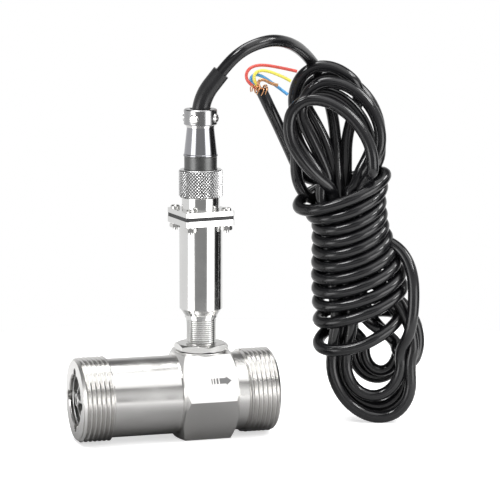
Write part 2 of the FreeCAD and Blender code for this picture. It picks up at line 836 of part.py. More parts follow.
def build():
    pole, spool, winding, magnet = coil_pieces()
    hank = cable_hank()
    start = sleeve_end()
    lead = tube("cable_lead", [tuple(start)] + lead_points, cable_d).cut(hank)
    tail = tube("cable_tail", tail_points, cable_d).cut(hank)
    stripped = {
        "red_core": tube("red_core", red_points, core_d),
        "yellow_core": tube("yellow_core", yellow_points, core_d),
        "blue_core": tube("blue_core", blue_points, core_d),
        "shield_braid": tube("shield_braid", braid_points, braid_d),
    }
    wheel = rotor()
    wheel.translate(V(hex_middle_x, 0, 0))
    shaft = rotor_shaft()
    shaft.translate(V(hex_middle_x, 0, 0))
    nodes = {
        "flow_body": flow_body(),
        "inlet_guide": whole_inlet_guide(),
        "outlet_guide": whole_outlet_guide(),
        "inlet_bearing": on_pipe(bearing(hex_middle_x - hub_end_gap)),
        "outlet_bearing": on_pipe(mirrored_x(bearing(-hex_middle_x - hub_end_gap))),
        "inlet_snap_ring": on_pipe(snap_ring()),
        "outlet_snap_ring": on_pipe(mirrored_x(snap_ring())),
        "rotor": on_pipe(wheel),
        "rotor_shaft": on_pipe(shaft),
        "pickup_housing": on_stem(pickup_housing(), flange_turn),
        "stem_nut": on_stem(stem_nut(), nut_turn),
        "stem_washer": on_stem(stem_washer()),
        "pole_pin": on_stem(pole),
        "coil_bobbin": on_stem(spool),
        "coil_winding": on_stem(winding),
        "pickup_magnet": on_stem(magnet),
        "preamp_board": on_stem(preamp_board(), flange_turn),
        "flange_gasket": on_stem(flange_gasket(), flange_turn),
        "socket_shell": on_stem(socket_shell(), flange_turn),
        "socket_insert": on_stem(socket_insert(), flange_turn),
        "socket_pins": on_stem(socket_pins(), flange_turn),
        "flange_screws": on_stem(flange_screws(), flange_turn),
        "flange_washers": on_stem(flange_washers(), flange_turn),
        "flange_nuts": on_stem(flange_nuts(), flange_turn),
        "coupling_ring": on_stem(coupling_ring()),
        "ring_retainer": on_stem(ring_retainer(), flange_turn),
        "plug_shell": on_stem(plug_shell()),
        "plug_insert": on_stem(plug_insert(), flange_turn),
        "plug_contacts": on_stem(plug_contacts(), flange_turn),
        "clamp_ferrule": on_stem(clamp_ferrule()),
        "clamp_collar": on_stem(clamp_collar(), clamp_screw_turn),
        "clamp_screws": on_stem(clamp_screws(), clamp_screw_turn),
        "cable_sleeve": on_stem(cable_sleeve(), view_turn),
        "cable_lead": lead,
        "cable_hank": hank,
        "cable_tail": tail,
    }
    for name, strand in stripped.items():
        nodes[name] = strand.cut(tail)
    return nodes


os.makedirs("parts", exist_ok=True)
for node, shape in build().items():
    if not shape.isValid():
        print("not valid:", node)
    shape.exportStep("parts/" + node + ".step")
    print(node, "solids", len(shape.Solids), "volume", round(shape.Volume, 1))
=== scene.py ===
import math

import bpy
from mathutils import Matrix, Vector


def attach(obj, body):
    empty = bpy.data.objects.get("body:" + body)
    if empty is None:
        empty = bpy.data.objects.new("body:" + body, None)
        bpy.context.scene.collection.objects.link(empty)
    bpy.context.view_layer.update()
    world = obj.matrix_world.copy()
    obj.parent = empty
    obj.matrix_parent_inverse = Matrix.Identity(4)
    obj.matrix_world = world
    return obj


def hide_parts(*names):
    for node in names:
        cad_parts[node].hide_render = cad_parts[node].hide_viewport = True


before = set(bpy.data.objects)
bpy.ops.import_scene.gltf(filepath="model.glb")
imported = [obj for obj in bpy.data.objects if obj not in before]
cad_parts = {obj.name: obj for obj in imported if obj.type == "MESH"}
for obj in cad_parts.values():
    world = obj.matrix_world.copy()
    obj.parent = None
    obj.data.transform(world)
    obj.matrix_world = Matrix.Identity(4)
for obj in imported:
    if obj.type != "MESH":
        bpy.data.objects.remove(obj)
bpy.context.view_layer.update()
mm = 0.001
# Where the upright axis of the pickup stands along the pipe, and the height of the pipe's axis
stemAt = 14.4
pipeHeight = 21.25
print("frame loaded,", len(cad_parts), "nodes")


# Small helpers for picking and finishing pieces

sharpAngle = math.radians(30)


def metres(point):
    return Vector([v * mm for v in point])


def deselectAll():
    for obj in bpy.context.selected_objects:
        obj.select_set(False)


def activate(obj):
    deselectAll()
    obj.select_set(True)
    bpy.context.view_layer.objects.active = obj


def settle(obj):
    activate(obj)
    bpy.ops.object.transform_apply(location=True, rotation=True, scale=True)


def evenNormals(obj):
    activate(obj)
    bpy.ops.object.shade_smooth_by_angle(angle=sharpAngle)
    even = obj.modifiers.new("even", "WEIGHTED_NORMAL")
    even.keep_sharp = True
    bpy.ops.object.modifier_apply(modifier=even.name)


def finishPiece(obj, name, material, slot, body, *nodes):
    obj.name = name
    obj.data.name = name
    obj.data.materials.clear()
    obj.data.materials.append(material)
    if nodes:
        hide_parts(*nodes)
    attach(obj, body)


# Camera, a little above the object and to the left of the label
cameraSet = {
    "place": (-350.95, -1322.05, 315.28),
    "turn": -16.461,
    "tilt": 9.207,
    "lens": 202.68,
    "sensor": 36.0,
}


def makeCamera():
    bpy.ops.object.camera_add(location=metres(cameraSet["place"]))
    camera = bpy.context.object
    camera.name = "studioCamera"
    camera.rotation_euler = (math.radians(90 - cameraSet["tilt"]), 0, math.radians(cameraSet["turn"]))
    camera.data.lens = cameraSet["lens"]
    camera.data.sensor_width = cameraSet["sensor"]
    bpy.context.scene.camera = camera


makeCamera()
print("camera placed")


# Node helpers: what a socket is given is set on it, or linked to it where it is another socket

def feed(tree, socket, value):
    if isinstance(value, (int, float, tuple)):
        socket.default_value = value
    else:
        tree.links.new(value, socket)


def addNode(tree, kind, **values):
    node = tree.nodes.new(kind)
    for key, value in values.items():
        if hasattr(node, key):
            setattr(node, key, value)
        else:
            feed(tree, node.inputs[key.replace("_", " ")], value)
    return node


def operate(tree, kind, operation, values):
    node = addNode(tree, kind, operation=operation)
    for socket, value in zip(node.inputs, values):
        feed(tree, socket, value)
    return node


def mathNode(tree, operation, *values):
    return operate(tree, "ShaderNodeMath", operation, values).outputs[0]


def vectorNode(tree, operation, *values):
    return operate(tree, "ShaderNodeVectorMath", operation, values)


def mixNode(tree, kind, factor, a, b):
    return addNode(tree, "ShaderNodeMix", data_type=kind, Factor=factor, A=a, B=b).outputs["Result"]


def splitNode(tree, vector):
    return addNode(tree, "ShaderNodeSeparateXYZ", Vector=vector).outputs


def objectPlace(tree):
    return addNode(tree, "ShaderNodeTexCoord").outputs["Object"]


def newMaterial(name):
    material = bpy.data.materials.new(name)
    material.use_nodes = True
    tree = material.node_tree
    return material, tree, tree.nodes["Principled BSDF"]


def newGroup(name, inputs, outputs):
    group = bpy.data.node_groups.new(name, "ShaderNodeTree")
    for label, kind, value in inputs:
        socket = group.interface.new_socket(label, in_out="INPUT", socket_type=kind)
        if value is not None:
            socket.default_value = value
    for label, kind in outputs:
        group.interface.new_socket(label, in_out="OUTPUT", socket_type=kind)
    return group, group.nodes.new("NodeGroupInput"), group.nodes.new("NodeGroupOutput")


# Handling haze: a soft cloudy mask that never repeats, used for roughness and tint
hazeSet = {"scale": 60.0, "low": 0.2, "high": 0.3, "detail": 4.0, "roughness": 0.55, "from": (0.3, 0.7)}


def buildHaze():
    group, start, end = newGroup(
        "handlingHaze",
        [("Vector", "NodeSocketVector", None), ("Scale", "NodeSocketFloat", hazeSet["scale"]),
         ("Low", "NodeSocketFloat", hazeSet["low"]), ("High", "NodeSocketFloat", hazeSet["high"])],
        [("Value", "NodeSocketFloat"), ("Mask", "NodeSocketFloat")])
    noise = addNode(group, "ShaderNodeTexNoise", Vector=start.outputs["Vector"], Scale=start.outputs["Scale"],
                    Detail=hazeSet["detail"], Roughness=hazeSet["roughness"])
    dark, light = hazeSet["from"]
    spread = addNode(group, "ShaderNodeMapRange", Value=noise.outputs[0], From_Min=dark, From_Max=light,
                     To_Min=start.outputs["Low"], To_Max=start.outputs["High"])
    feed(group, end.inputs["Value"], spread.outputs[0])
    feed(group, end.inputs["Mask"], noise.outputs[0])
    return group


# Lathe rings: fine uneven grooves along one direction, as a turning tool leaves them
ringsSet = {"scale": 4000.0, "fineDetail": 2.0, "coarseDetail": 1.0, "coarseShare": 0.17}


def buildLatheRings():
    group, start, end = newGroup(
        "latheRings",
        [("Along", "NodeSocketFloat", 0.0), ("Scale", "NodeSocketFloat", ringsSet["scale"])],
        [("Height", "NodeSocketFloat")])
    along = start.outputs["Along"]
    wide = mathNode(group, "MULTIPLY", start.outputs["Scale"], ringsSet["coarseShare"])
    fine = addNode(group, "ShaderNodeTexNoise", noise_dimensions="1D", W=along,
                   Scale=start.outputs["Scale"], Detail=ringsSet["fineDetail"])
    coarse = addNode(group, "ShaderNodeTexNoise", noise_dimensions="1D", W=along,
                     Scale=wide, Detail=ringsSet["coarseDetail"])
    feed(group, end.inputs["Height"], mathNode(group, "ADD", fine.outputs[0], coarse.outputs[0]))
    return group


handlingHaze = buildHaze()
latheRings = buildLatheRings()


def hazeNode(tree, place, scale, low, high):
    return addNode(tree, "ShaderNodeGroup", node_tree=handlingHaze, Vector=place, Scale=scale,
                   Low=low, High=high)


def tintAndGloss(tree, shader, haze, dark, light):
    feed(tree, shader.inputs["Roughness"], haze.outputs["Value"])
    tint = mixNode(tree, "RGBA", haze.outputs["Mask"], dark + (1.0,), light + (1.0,))
    feed(tree, shader.inputs["Base Color"], tint)


def addRelief(tree, shader, height, strength, depth):
    bump = addNode(tree, "ShaderNodeBump", Strength=strength, Distance=depth * mm, Height=height)
    feed(tree, shader.inputs["Normal"], bump.outputs["Normal"])


# Metals: one recipe, with its own polish, tint and turning direction each time
metalSet = {"hazeScale": 90.0, "dim": 0.9, "relief": 0.03}
metalFinishes = {
    "turnedSteel": {"tint": (0.80, 0.79, 0.775), "low": 0.17, "high": 0.27,
                    "axis": "X", "rings": 2600, "bump": 0.10},
    "guideSteel": {"tint": (0.66, 0.66, 0.65), "low": 0.25, "high": 0.40,
                   "axis": "X", "rings": 2200, "bump": 0.15},
    "rotorSteel": {"tint": (0.56, 0.56, 0.57), "low": 0.28, "high": 0.42,
                   "axis": "X", "rings": 1800, "bump": 0.15},
    "groundSteel": {"tint": (0.62, 0.62, 0.63), "low": 0.12, "high": 0.2,
                    "axis": "X", "rings": 5000, "bump": 0.05},
    "polishedSteel": {"tint": (0.80, 0.80, 0.79), "low": 0.07, "high": 0.14,
                      "axis": "Z", "rings": 3200, "bump": 0.05},
    "platedSteel": {"tint": (0.77, 0.765, 0.75), "low": 0.16, "high": 0.28,
                    "axis": "Z", "rings": 2000, "bump": 0.05},
    "brightNickel": {"tint": (0.79, 0.785, 0.775), "low": 0.10, "high": 0.22,
                     "axis": "Z", "rings": 2500, "bump": 0.04},
    "gritNickel": {"tint": (0.70, 0.70, 0.695), "low": 0.10, "high": 0.20,
                   "axis": "Z", "rings": 2500, "bump": 0.04},
    "magnetMetal": {"tint": (0.32, 0.32, 0.33), "low": 0.35, "high": 0.5,
                    "axis": "Z", "rings": 900, "bump": 0.1},
    "braidCopper": {"tint": (0.80, 0.43, 0.22), "low": 0.24, "high": 0.38,
                    "axis": "X", "rings": 1800, "bump": 0.1},
    "collarNickel": {"tint": (0.42, 0.42, 0.425), "low": 0.16, "high": 0.30,
                     "axis": "Z", "rings": 900, "bump": 0.35},
    "bearingBronze": {"tint": (0.62, 0.46, 0.25), "low": 0.28, "high": 0.42,
                      "axis": "X", "rings": 1800, "bump": 0.1},
    "contactBrass": {"tint": (0.83, 0.66, 0.32), "low": 0.15, "high": 0.25,
                     "axis": "Z", "rings": 2200, "bump": 0.05},
}


def metalMaterial(name, finish):
    material, tree, shader = newMaterial(name)
    feed(tree, shader.inputs["Metallic"], 1.0)
    place = objectPlace(tree)
    haze = hazeNode(tree, place, metalSet["hazeScale"], finish["low"], finish["high"])
    dim = tuple(c * metalSet["dim"] for c in finish["tint"])
    tintAndGloss(tree, shader, haze, dim, finish["tint"])
    along = splitNode(tree, place)[finish["axis"]]
    rings = addNode(tree, "ShaderNodeGroup", node_tree=latheRings, Along=along, Scale=finish["rings"])
    addRelief(tree, shader, rings.outputs["Height"], finish["bump"], metalSet["relief"])
    return material


metals = {name: metalMaterial(name, finish) for name, finish in metalFinishes.items()}


# Plastics and rubbers: colour, gloss and a fine moulded grain
plasticSet = {"hazeScale": 70.0, "brighter": 1.25, "lift": 0.003, "coatRough": 0.12, "detail": 2.0,
              "relief": 0.04}
plasticFinishes = {
    "jacketBlack": {"tint": (0.005, 0.005, 0.006), "low": 0.14, "high": 0.24,
                    "grain": 900, "bump": 0.05, "coat": 0.15},
    "printGrey": {"tint": (0.14, 0.14, 0.14), "low": 0.5, "high": 0.6,
                  "grain": 2500, "bump": 0.05, "coat": 0.0},
    "sleeveBlack": {"tint": (0.010, 0.010, 0.011), "low": 0.22, "high": 0.34,
                    "grain": 1500, "bump": 0.15, "coat": 0.0},
    "gasketBlack": {"tint": (0.025, 0.025, 0.026), "low": 0.5, "high": 0.65,
                    "grain": 2500, "bump": 0.3, "coat": 0.0},
    "insertBlack": {"tint": (0.035, 0.034, 0.033), "low": 0.4, "high": 0.5,
                    "grain": 2000, "bump": 0.1, "coat": 0.0},
    "bobbinNylon": {"tint": (0.80, 0.77, 0.68), "low": 0.35, "high": 0.5,
                    "grain": 1200, "bump": 0.1, "coat": 0.0},
    "boardGreen": {"tint": (0.03, 0.19, 0.09), "low": 0.3, "high": 0.4,
                   "grain": 3000, "bump": 0.1, "coat": 0.3},
    "coreRed": {"tint": (0.64, 0.09, 0.07), "low": 0.28, "high": 0.38,
                "grain": 2500, "bump": 0.06, "coat": 0.1},
    "coreYellow": {"tint": (0.88, 0.74, 0.12), "low": 0.28, "high": 0.38,
                   "grain": 2500, "bump": 0.06, "coat": 0.1},
    "coreBlue": {"tint": (0.10, 0.36, 0.70), "low": 0.28, "high": 0.38,
                 "grain": 2500, "bump": 0.06, "coat": 0.1},
}


def plasticMaterial(name, finish):
    material, tree, shader = newMaterial(name)
    feed(tree, shader.inputs["Coat Weight"], finish["coat"])
    feed(tree, shader.inputs["Coat Roughness"], plasticSet["coatRough"])
    place = objectPlace(tree)
    haze = hazeNode(tree, place, plasticSet["hazeScale"], finish["low"], finish["high"])
    light = tuple(min(c * plasticSet["brighter"] + plasticSet["lift"], 1.0) for c in finish["tint"])
    tintAndGloss(tree, shader, haze, finish["tint"], light)
    grain = addNode(tree, "ShaderNodeTexNoise", Vector=place, Scale=finish["grain"],
                    Detail=plasticSet["detail"])
    addRelief(tree, shader, grain.outputs[0], finish["bump"], plasticSet["relief"])
    return material


plastics = {name: plasticMaterial(name, finish) for name, finish in plasticFinishes.items()}


# Plug shell: blackened metal, polished on the taper and satin below the ridge
shellSet = {
    "ridgeAt": 140.2,
    "polished": (0.36, 0.36, 0.38, 1.0),
    "satin": (0.14, 0.14, 0.14, 1.0),
    "polishedRough": 0.07,
    "satinRough": 0.34,
    "hazeScale": 120.0,
    "haze": 0.05,
}


def shellMaterial():
    material, tree, shader = newMaterial("shellBlack")
    feed(tree, shader.inputs["Metallic"], 1.0)
    place = objectPlace(tree)
    above = mathNode(tree, "GREATER_THAN", splitNode(tree, place)["Z"], shellSet["ridgeAt"] * mm)
    tint = mixNode(tree, "RGBA", above, shellSet["satin"], shellSet["polished"])
    feed(tree, shader.inputs["Base Color"], tint)
    haze = hazeNode(tree, place, shellSet["hazeScale"], 0.0, shellSet["haze"])
    rough = mixNode(tree, "FLOAT", above, shellSet["satinRough"], shellSet["polishedRough"])
    feed(tree, shader.inputs["Roughness"], mathNode(tree, "ADD", rough, haze.outputs["Value"]))
    return material


plastics["shellBlack"] = shellMaterial()
print("materials built")


# The hank stands on its lowest loops and leans back; w runs across it, h up it and n towards the camera
hankSet = {
    "foot": (112.4, 3.7),
    "lean": 4.0,
    "turn": -16.5,
    "lift": 0.2,
}


def hankPoint(w, h, n):
    place = Matrix.Rotation(math.radians(-hankSet["lean"]), 3, "X") @ Vector((w, -n, h))
    place = Matrix.Rotation(math.radians(hankSet["turn"]), 3, "Z") @ place
    return place + Vector((hankSet["foot"][0], hankSet["foot"][1], hankSet["lift"]))


def between(value, keys, column):
    if value <= keys[0][0]:
        return keys[0][column]
    for low, high in zip(keys, keys[1:]):
        if value <= high[0]:
            share = (value - low[0]) / (high[0] - low[0])
            return low[column] + share * (high[column] - low[column])
    return keys[-1][column]


# Waist of the hank: height, middle of the bundle, spread of its strands
waistKeys = [
    (50.0, -12.0, 1.22),
    (72.0, -17.0, 1.03),
    (95.0, -19.8, 1.0),
    (116.0, -23.6, 1.0),
]
waistHeights = (116.0, 95.0, 72.0, 52.0)

# One right leg leaves the waist between two wraps and runs down outside them
outerLeg = [(-8.0, 97.0, 2.5), (-1.0, 92.5, 0.5), (6.3, 88.5, 2.5), (11.0, 82.5, 5.5), (13.6, 74.0, 8.5),
            (14.0, 64.0, 10.0), (13.4, 54.0, 10.0), (11.6, 44.0, 9.0)]

# Each loop of the hank, in the order in which the cable was laid: the arch at its foot, the place of its
# left leg in the waist, points up to the top, the arch at the top, points down again, and the place of its
# right leg. Where a loop has an entry, its points take the place of the last ones of the leg before it.
# An arch is a leaning oval: middle (w, h), half width, half height, lean, depth and the angles it covers
hankLoops = [
    {"foot": (-1.8, 35.5, 8.6, 11.2, 0.0, -6.0, 204, -24), "left": (-9.9, -5.8),
     "rise": [(-38.0, 112.0, -4.0), (-43.0, 117.5, -2.5), (-45.4, 125.0, -2.0), (-45.3, 134.0, -3.0),
              (-46.4, 144.0, -4.0)],
     "top": (-27.0, 156.8, 19.0, 21.8, -0.28, -4.0, 204, 60),
     "fall": [(-13.6, 168.5, -6.5), (-13.9, 161.0, -9.0), (-17.5, 152.0, -9.5), (-19.8, 141.0, -7.5),
              (-19.8, 128.0, -5.0)],
     "right": (3.3, -5.8)},
    {"foot": (-4.4, 33.8, 11.8, 13.4, -0.1, -10.0, 204, -24), "left": (-3.3, -5.8),
     "rise": [(-26.0, 122.5, -4.5), (-27.6, 131.5, -5.0), (-30.3, 141.0, -6.5), (-34.6, 150.0, -8.5)],
     "top": (-22.6, 151.8, 19.6, 21.8, -0.30, -9.8, 166, -12),
     "fall": [(-3.0, 133.0, -1.5), (-8.5, 124.0, -4.0)], "right": (9.9, -5.8)},
    {"foot": (-6.6, 26.2, 17.0, 19.7, -0.22, -2.0, 236, -24), "left": (-6.6, 0.0),
     "rise": [(-28.5, 122.5, 2.0), (-32.0, 131.5, 3.5), (-36.5, 141.0, 4.8), (-41.0, 150.0, 6.0)],
     "top": (-23.0, 149.6, 19.8, 21.3, -0.30, 5.0, 176, -12),
     "fall": [(-8.0, 131.0, 4.5), (-12.6, 122.5, 2.5)], "right": (6.6, 0.0),
     "entry": [(7.5, 61.0, -7.0), (13.6, 54.0, -8.5), (17.4, 45.0, -8.5), (17.6, 35.0, -7.5),
               (13.4, 26.5, -5.0)],
     "replaced": 1},
    {"foot": (-7.2, 25.0, 20.2, 22.5, -0.25, 4.5, 204, -24), "left": (-9.9, 5.8),
     "rise": [(-31.5, 123.0, 6.5), (-38.0, 131.5, 6.0), (-43.4, 140.0, 3.5)],
     "top": (-26.9, 145.0, 19.0, 20.9, -0.36, -1.2, 188, 4),
     "fall": [(-9.8, 133.0, 1.5), (-13.6, 126.5, 3.8), (-15.6, 119.5, 5.6)], "right": (3.3, 5.8),
     "entry": [(5.5, 63.0, 5.0), (10.0, 54.0, 4.5), (13.6, 44.0, 4.5), (14.2, 36.0, 4.5)], "replaced": 1},
    {"foot": (-6.0, 29.3, 14.0, 16.4, 0.0, 4.0, 204, -24), "left": (-3.3, 5.8),
     "rise": [(-28.5, 119.5, 8.5), (-36.0, 125.5, 12.0), (-43.0, 133.5, 14.5)],
     "top": (-28.3, 141.2, 20.9, 20.5, -0.43, 15.5, 196, -12),
     "fall": [(-8.8, 126.0, 11.5)], "right": (9.9, 5.8), "entry": outerLeg, "replaced": 3},
]
archSet = {"steps": 6, "ease": 1.05}


def archPoints(oval, atFoot):
    middleW, middleH, halfW, halfH, slope, depth, first, last = oval
    points = []
    for k in range(archSet["steps"] + 1):
        turn = math.radians(first + (last - first) * k / archSet["steps"])
        w = halfW * archSet["ease"] * math.cos(turn)
        h = halfH * archSet["ease"] * math.sin(turn)
        if atFoot:
            w, h = -w, -h
        points.append(hankPoint(middleW + w, middleH + h + slope * w, depth))
    return points


def legPoints(side, heights):
    offset, depth = side
    points = []
    for height in heights:
        w = between(height, waistKeys, 1) + offset * between(height, waistKeys, 2)
        points.append(hankPoint(w, height, depth))
    return points


# Wraps round the waist, by turns: height in the middle, middle across, half width, half depth and the
# rise to the right
wrapKeys = [
    (0.0, 45.8, -13.3, 20.6, 13.0, 0.30),
    (1.0, 61.4, -12.6, 21.4, 13.0, 0.27),
    (2.0, 68.3, -13.1, 21.4, 12.6, 0.27),
    (4.0, 81.4, -15.6, 19.3, 12.1, 0.27),
    (6.0, 93.4, -17.7, 16.9, 12.0, 0.27),
    (8.0, 105.6, -18.6, 16.1, 12.0, 0.27),
    (9.0, 112.0, -20.5, 18.2, 12.2, 0.28),
    (10.0, 118.5, -23.0, 23.1, 13.5, 0.33),
]
wrapSet = {"turns": 11, "steps": 12, "frontAt": 0.75, "tip": 0.5, "ease": 1.035}


def wrapPoints():
    points = []
    for k in range(wrapSet["turns"] * wrapSet["steps"] + 1):
        turn = k / wrapSet["steps"]
        angle = -2 * math.pi * turn
        along = turn - wrapSet["frontAt"]
        level, middle, halfW, halfD, rise = [between(along, wrapKeys, column) for column in range(1, 6)]
        w = halfW * wrapSet["ease"] * math.cos(angle)
        n = halfD * wrapSet["ease"] * math.sin(angle)
        points.append(hankPoint(middle + w, level + rise * w - wrapSet["tip"] * n, n))
    return points


# The cable, from the sleeve over to the hank, through its loops and wraps, and out as the loose tail
cableSet = {
    "diameter": 6.0,
    "exit": (24.14, -2.89, 180.87),
    "lead": [(28.2, -4.1, 186.3), (34.9, -5.0, 191.7), (42.3, -4.1, 194.6), (50.4, -1.4, 195.9),
             (59.2, 5.5, 194.5), (68.6, 16.0, 190.9), (76.8, 26.7, 185.8), (83.3, 34.0, 180.1),
             (87.4, 36.6, 174.6), (90.2, 36.1, 167.9)],
    "plunge": [(-26.7, 156.0, -12.0), (-25.1, 143.0, -9.0), (-24.6, 130.0, -5.0)],
    "tail": [(-6.0, 126.0, -11.5), (-20.0, 122.0, -14.5), (-33.0, 121.0, -15.0), (-41.0, 123.0, -13.0),
             (-45.0, 129.0, -10.0), (-47.8, 135.5, -7.0), (-51.0, 142.5, -3.5), (-54.8, 150.9, 1.0),
             (-58.9, 159.3, 4.0), (-61.6, 165.1, 4.8), (-63.3, 168.4, 4.8)],
}


def hankPoints(places):
    return [hankPoint(*place) for place in places]


def cableRoute():
    upward = waistHeights[::-1]
    route = [Vector(p) for p in [cableSet["exit"]] + cableSet["lead"]]
    route += hankPoints(cableSet["plunge"])
    route += legPoints((0.0, 0.0), waistHeights)
    for loop in hankLoops:
        if "entry" in loop:
            route = route[:-loop["replaced"]] + hankPoints(loop["entry"])
        route += archPoints(loop["foot"], True)
        route += legPoints(loop["left"], upward)
        route += hankPoints(loop["rise"])
        route += archPoints(loop["top"], False)
        route += hankPoints(loop["fall"])
        route += legPoints(loop["right"], waistHeights)
    # The last leg goes over into the wraps before it reaches the foot
    route = route[:-1] + wrapPoints()
    route += hankPoints(cableSet["tail"])
    return [metres(p) for p in route]


tubeSteps = 5


def splineTube(name, points, diameter):
    curve = bpy.data.curves.new(name, "CURVE")
    curve.dimensions = "3D"
    spline = curve.splines.new("NURBS")
    spline.points.add(len(points) - 1)
    for control, point in zip(spline.points, points):
        control.co = (*point, 1.0)
    spline.order_u = 3
    spline.use_endpoint_u = True
    spline.resolution_u = tubeSteps
    curve.bevel_depth = diameter / 2
    curve.bevel_resolution = tubeSteps
    curve.use_fill_caps = True
    obj = bpy.data.objects.new(name, curve)
    bpy.context.collection.objects.link(obj)
    return obj


def lineLength(obj):
    depth = obj.data.bevel_depth
    obj.data.bevel_depth = 0
    bpy.context.view_layer.update()
    line = bpy.data.meshes.new_from_object(obj)
    obj.data.bevel_depth = depth
    places = [v.co.copy() for v in line.vertices]
    bpy.data.meshes.remove(line)
    return sum((b - a).length for a, b in zip(places, places[1:]))


cable = splineTube("wrappedCable", cableRoute(), cableSet["diameter"] * mm)
cableLength = lineLength(cable)
print("cable laid,", round(cableLength, 3), "m")


# Cores and shield at the stripped end
coreSet = {
    "diameter": 1.6,
    "coreRed": [(53.2, 28.8, 167.8), (50.0, 30.2, 170.2), (47.4, 31.3, 172.8), (46.9, 31.8, 176.0),
                (48.6, 31.7, 179.0), (52.2, 30.7, 180.6), (56.9, 29.2, 180.6), (61.9, 27.3, 179.7),
                (66.8, 25.4, 178.7), (71.3, 23.6, 177.6)],
    "coreYellow": [(53.8, 28.2, 167.9), (51.2, 29.4, 171.6), (50.4, 30.0, 174.9), (51.6, 29.8, 177.2),
                   (54.2, 28.8, 178.2), (57.8, 27.5, 177.6), (61.4, 26.2, 176.2), (65.0, 25.0, 174.6),
                   (68.2, 23.9, 172.7)],
    "coreBlue": [(53.6, 29.2, 167.8), (50.6, 30.6, 170.6), (49.3, 31.5, 172.8), (49.7, 31.4, 175.0),
                 (51.9, 30.7, 176.0), (54.6, 29.8, 175.2), (57.4, 28.6, 173.3), (60.4, 27.3, 171.0),
                 (63.6, 25.8, 168.5), (66.7, 24.3, 165.9)],
    "shieldTwist": [(53.9, 27.6, 167.9), (52.4, 27.6, 170.4), (52.0, 27.4, 172.4), (53.4, 26.9, 173.7),
                    (55.4, 26.4, 173.4), (57.4, 25.8, 172.2), (59.6, 25.0, 171.2), (61.6, 24.4, 170.8)],
}


def layOnCable(name, places, diameter, material, slot, *nodes):
    tube = splineTube(name, [metres(place) for place in places], diameter * mm)
    finishPiece(tube, name, material, slot, "plug", *nodes)


for name, node, slot in (("coreRed", "red_core", "core_red"),
                         ("coreYellow", "yellow_core", "core_yellow"),
                         ("coreBlue", "blue_core", "core_blue")):
    layOnCable(name, coreSet[name], coreSet["diameter"], plastics[name], slot, node)
layOnCable("shieldTwist", coreSet["shieldTwist"], coreSet["diameter"],
           metals["braidCopper"], "copper_wire", "shield_braid")


# Frayed strands that spread from the cut end; each wave is its size and how often it comes round the cable
fraySet = {
    "strands": 12,
    "thick": 0.6,
    "middle": (53.3, 28.4, 168.1),
    "reach": (1.1, 2.9, 4.2, 4.0),
    "lift": (0.0, 2.3, 1.2, -1.3),
    "twist": 0.12,
    "longWave": (0.2, 3),
    "sideWave": (0.3, 5),
    "tallWave": (0.9, 2),
}


def strandRoute(turn):
    x, y, z = fraySet["middle"]
    longSize, longCount = fraySet["longWave"]
    sideSize, sideCount = fraySet["sideWave"]
    tallSize, tallCount = fraySet["tallWave"]
    places = []
    for far, high in zip(fraySet["reach"], fraySet["lift"]):
        away = far * (1 + longSize * math.sin(longCount * turn)) + sideSize * math.sin(sideCount * turn)
        side = turn + fraySet["twist"] * high
        tall = tallSize * math.cos(tallCount * turn) * far / fraySet["reach"][-1]
        places.append((x + away * math.cos(side), y + away * math.sin(side), z + high + tall))
    return places


for k in range(fraySet["strands"]):
    turn = 2 * math.pi * k / fraySet["strands"]
    layOnCable("shieldStrand" + str(k), strandRoute(turn), fraySet["thick"],
               metals["braidCopper"], "copper_wire")
print("stripped end made")

finishPiece(cable, "wrappedCable", plastics["jacketBlack"], "cable_jacket", "plug",
            "cable_lead", "cable_hank", "cable_tail")


# Copies of solids that get carved, and the cutters that carve them

weldGap = 0.002


def copyOf(nodeName):
    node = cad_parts[nodeName]
    obj = bpy.data.objects.new(nodeName + "Copy", node.data.copy())
    bpy.context.collection.objects.link(obj)
    obj.matrix_world = node.matrix_world
    settle(obj)
    if obj.data.has_custom_normals:
        bpy.ops.mesh.customdata_custom_splitnormals_clear()
    bpy.ops.object.mode_set(mode="EDIT")
    bpy.ops.mesh.select_all(action="SELECT")
    bpy.ops.mesh.remove_doubles(threshold=weldGap * mm)
    bpy.ops.object.mode_set(mode="OBJECT")
    return obj


def carve(obj, tool, operation):
    activate(obj)
    cut = obj.modifiers.new("carve", "BOOLEAN")
    cut.object = tool
    cut.operation = operation
    cut.solver = "EXACT"
    bpy.ops.object.modifier_apply(modifier=cut.name)
    bpy.data.objects.remove(tool)


# Threads: crest radius, depth, pitch and turns, a point on the axis, and where the cutter's first turn starts
pipeThread = {"radius": 20.955, "depth": 1.42, "pitch": 2.309, "turns": 8,
              "axis": "X", "through": (0.0, 0.0, pipeHeight)}
stemThread = {"radius": 7.5, "depth": 0.58, "pitch": 1.0, "turns": 13,
              "axis": "Z", "through": (stemAt, 0.0, 0.0)}
neckThread = {"radius": 9.3, "depth": 0.5, "pitch": 1.0, "turns": 9,
              "axis": "Z", "through": (stemAt, 0.0, 0.0)}
threadStarts = {"inlet": -51.4, "outlet": 32.7, "stem": 45.6, "neck": 119.6}
threadShape = {"steps": 72, "rise": 0.06, "crestFlat": 0.1}
# A triangle in a circle of radius 1: half its side and its height
triangle = {"halfSide": math.sin(math.radians(60)), "height": 1.5}


